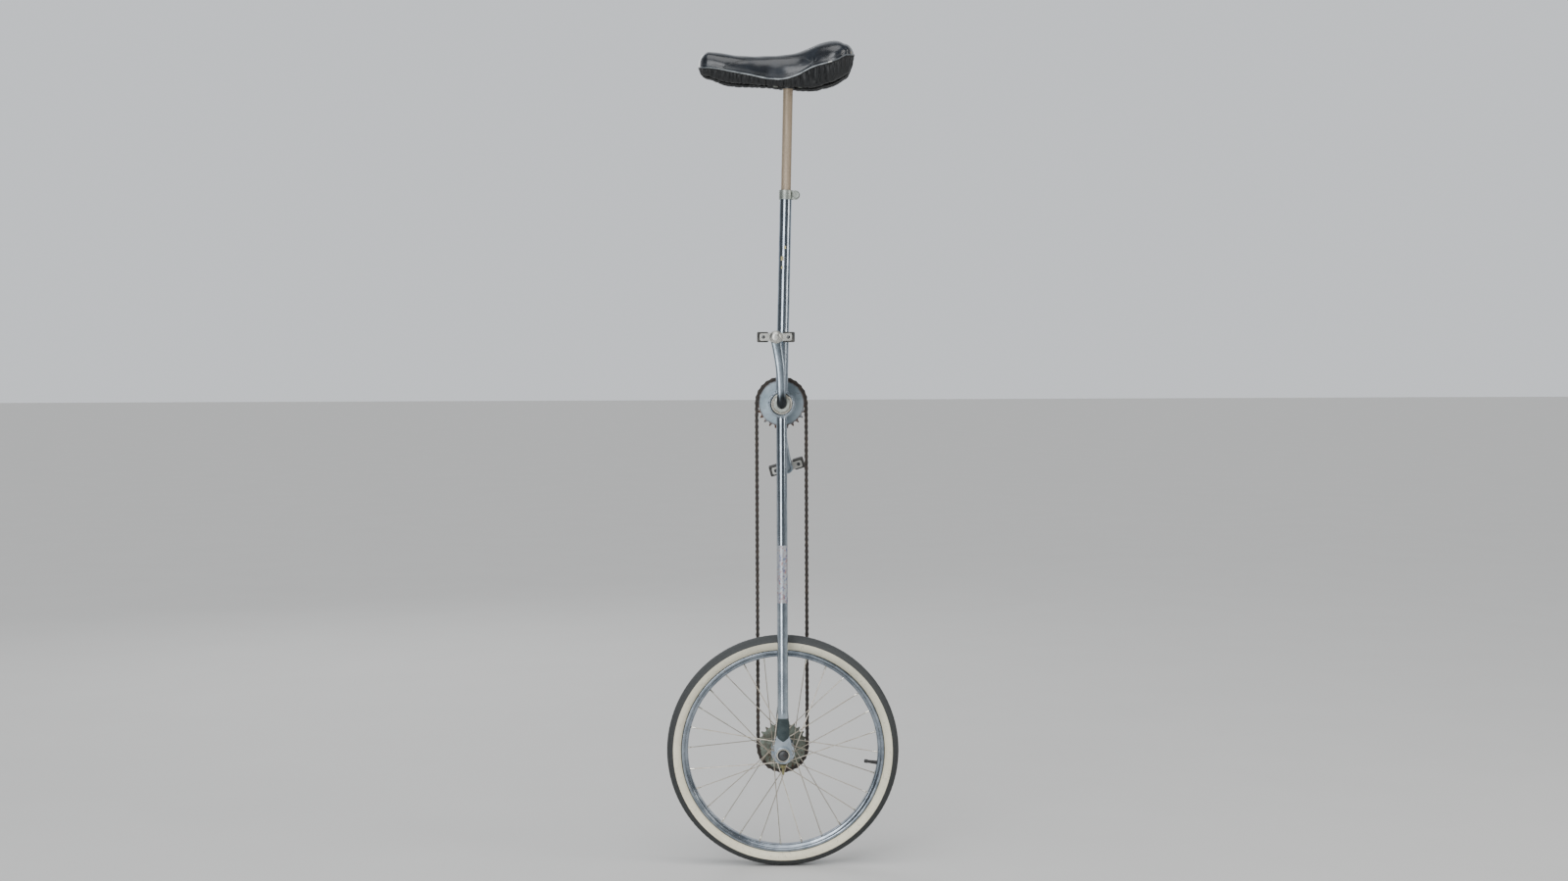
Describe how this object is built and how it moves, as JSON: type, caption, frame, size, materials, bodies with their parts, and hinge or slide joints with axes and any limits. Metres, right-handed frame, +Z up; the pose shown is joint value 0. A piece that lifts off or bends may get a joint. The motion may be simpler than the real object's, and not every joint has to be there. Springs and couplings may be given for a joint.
{
  "type": "giraffe unicycle",
  "caption": "Tall chain-driven unicycle: one spoked wheel under a two-legged frame, cranks high above it, and a padded saddle on a clamped post.",
  "frame": {"origin": "the point where the tyre stands on the ground, under the middle of the wheel", "axes": "+Z up, +Y to the rider's right (the chain side), +X to the rear, so the saddle's nose points to -X"},
  "size_m": [0.4922, 0.3018, 1.7395],
  "materials": {
    "chrome": "satin",
    "zinc": "satin",
    "spoke_steel": "satin",
    "forged_steel": "satin",
    "pedal_steel": "satin",
    "dark_steel": "satin",
    "bearing_steel": "polished",
    "brass_plate": "satin",
    "oxidised_post": "matte",
    "chain_steel": "matte",
    "tyre": "matte",
    "pedal_rubber": "matte",
    "tube_rubber": "matte",
    "rim_tape": "matte",
    "pan": "matte",
    "foam": "matte",
    "vinyl": "gloss"
  },
  "bodies": {
    "frame": {"bb_shell": "chrome", "mast": "chrome", "left_leg": "chrome", "right_leg": "chrome", "left_bearing_holder": "zinc", "right_bearing_holder": "zinc", "left_holder_bolt": "brass_plate", "right_holder_bolt": "brass_plate", "left_wheel_bearing": "bearing_steel", "right_wheel_bearing": "bearing_steel", "bb_cup_left": "chrome", "bb_cup_right": "chrome", "bb_balls_left": "bearing_steel", "bb_balls_right": "bearing_steel", "chain": "chain_steel"},
    "wheel": {"tyre": "tyre", "inner_tube": "tube_rubber", "rim": "chrome", "rim_strip": "rim_tape", "valve_stem": "tube_rubber", "spokes_left": "spoke_steel", "spokes_right": "spoke_steel", "hub_shell": "chrome", "axle": "dark_steel", "left_axle_nut": "dark_steel", "right_axle_nut": "dark_steel", "lower_sprocket": "forged_steel", "sprocket_lock_ring": "zinc"},
    "crank": {"crank": "forged_steel", "upper_sprocket": "forged_steel", "fixed_cone": "bearing_steel", "adjustable_cone": "bearing_steel", "keyed_washer": "zinc", "lock_nut": "zinc", "left_pedal_spindle": "forged_steel", "right_pedal_spindle": "forged_steel"},
    "left_pedal": {"left_pedal_barrel": "pedal_steel", "left_pedal_inner_plate": "pedal_steel", "left_pedal_outer_plate": "pedal_steel", "left_pedal_front_block": "pedal_rubber", "left_pedal_rear_block": "pedal_rubber", "left_pedal_dust_cap": "pedal_steel"},
    "right_pedal": {"right_pedal_barrel": "pedal_steel", "right_pedal_inner_plate": "pedal_steel", "right_pedal_outer_plate": "pedal_steel", "right_pedal_front_block": "pedal_rubber", "right_pedal_rear_block": "pedal_rubber", "right_pedal_dust_cap": "pedal_steel"},
    "seat_clamp": {"seat_collar": "zinc", "collar_bolt": "zinc", "collar_nut": "zinc"},
    "saddle": {"seat_post": "oxidised_post", "saddle_bracket": "dark_steel", "front_bracket_bolt": "zinc", "rear_bracket_bolt": "zinc", "saddle_pan": "pan", "saddle_foam": "foam", "saddle_cover": "vinyl"}
  },
  "joints": [
    {"name": "wheel_spin", "type": "hinge", "parent": "frame", "child": "wheel", "pos_m": [0, 0, 0.24606], "axis": [0, 1, 0], "continuous": true, "deforming": ["chain"]},
    {"name": "crank_spin", "type": "hinge", "parent": "frame", "child": "crank", "pos_m": [0, 0, 0.98266], "axis": [0, 1, 0], "continuous": true, "deforming": ["chain"]},
    {"name": "left_pedal_spin", "type": "hinge", "parent": "crank", "child": "left_pedal", "pos_m": [-0.01193, -0.105, 1.12185], "axis": [0, 1, 0], "continuous": true},
    {"name": "right_pedal_spin", "type": "hinge", "parent": "crank", "child": "right_pedal", "pos_m": [0.01193, 0.105, 0.84347], "axis": [0, 1, 0], "continuous": true},
    {"name": "seat_turn", "type": "hinge", "parent": "frame", "child": "seat_clamp", "pos_m": [0, 0, 0.98266], "axis": [0.0244, 0, 0.9997], "range_deg": [-180, 180]},
    {"name": "post_slide", "type": "slide", "parent": "seat_clamp", "child": "saddle", "axis": [0.0244, 0, 0.9997], "range_m": [-0.185, 0.05]}
  ],
  "couplings": [
    {"joint": "crank_spin", "follows": "wheel_spin", "ratio": 1}
  ]
}
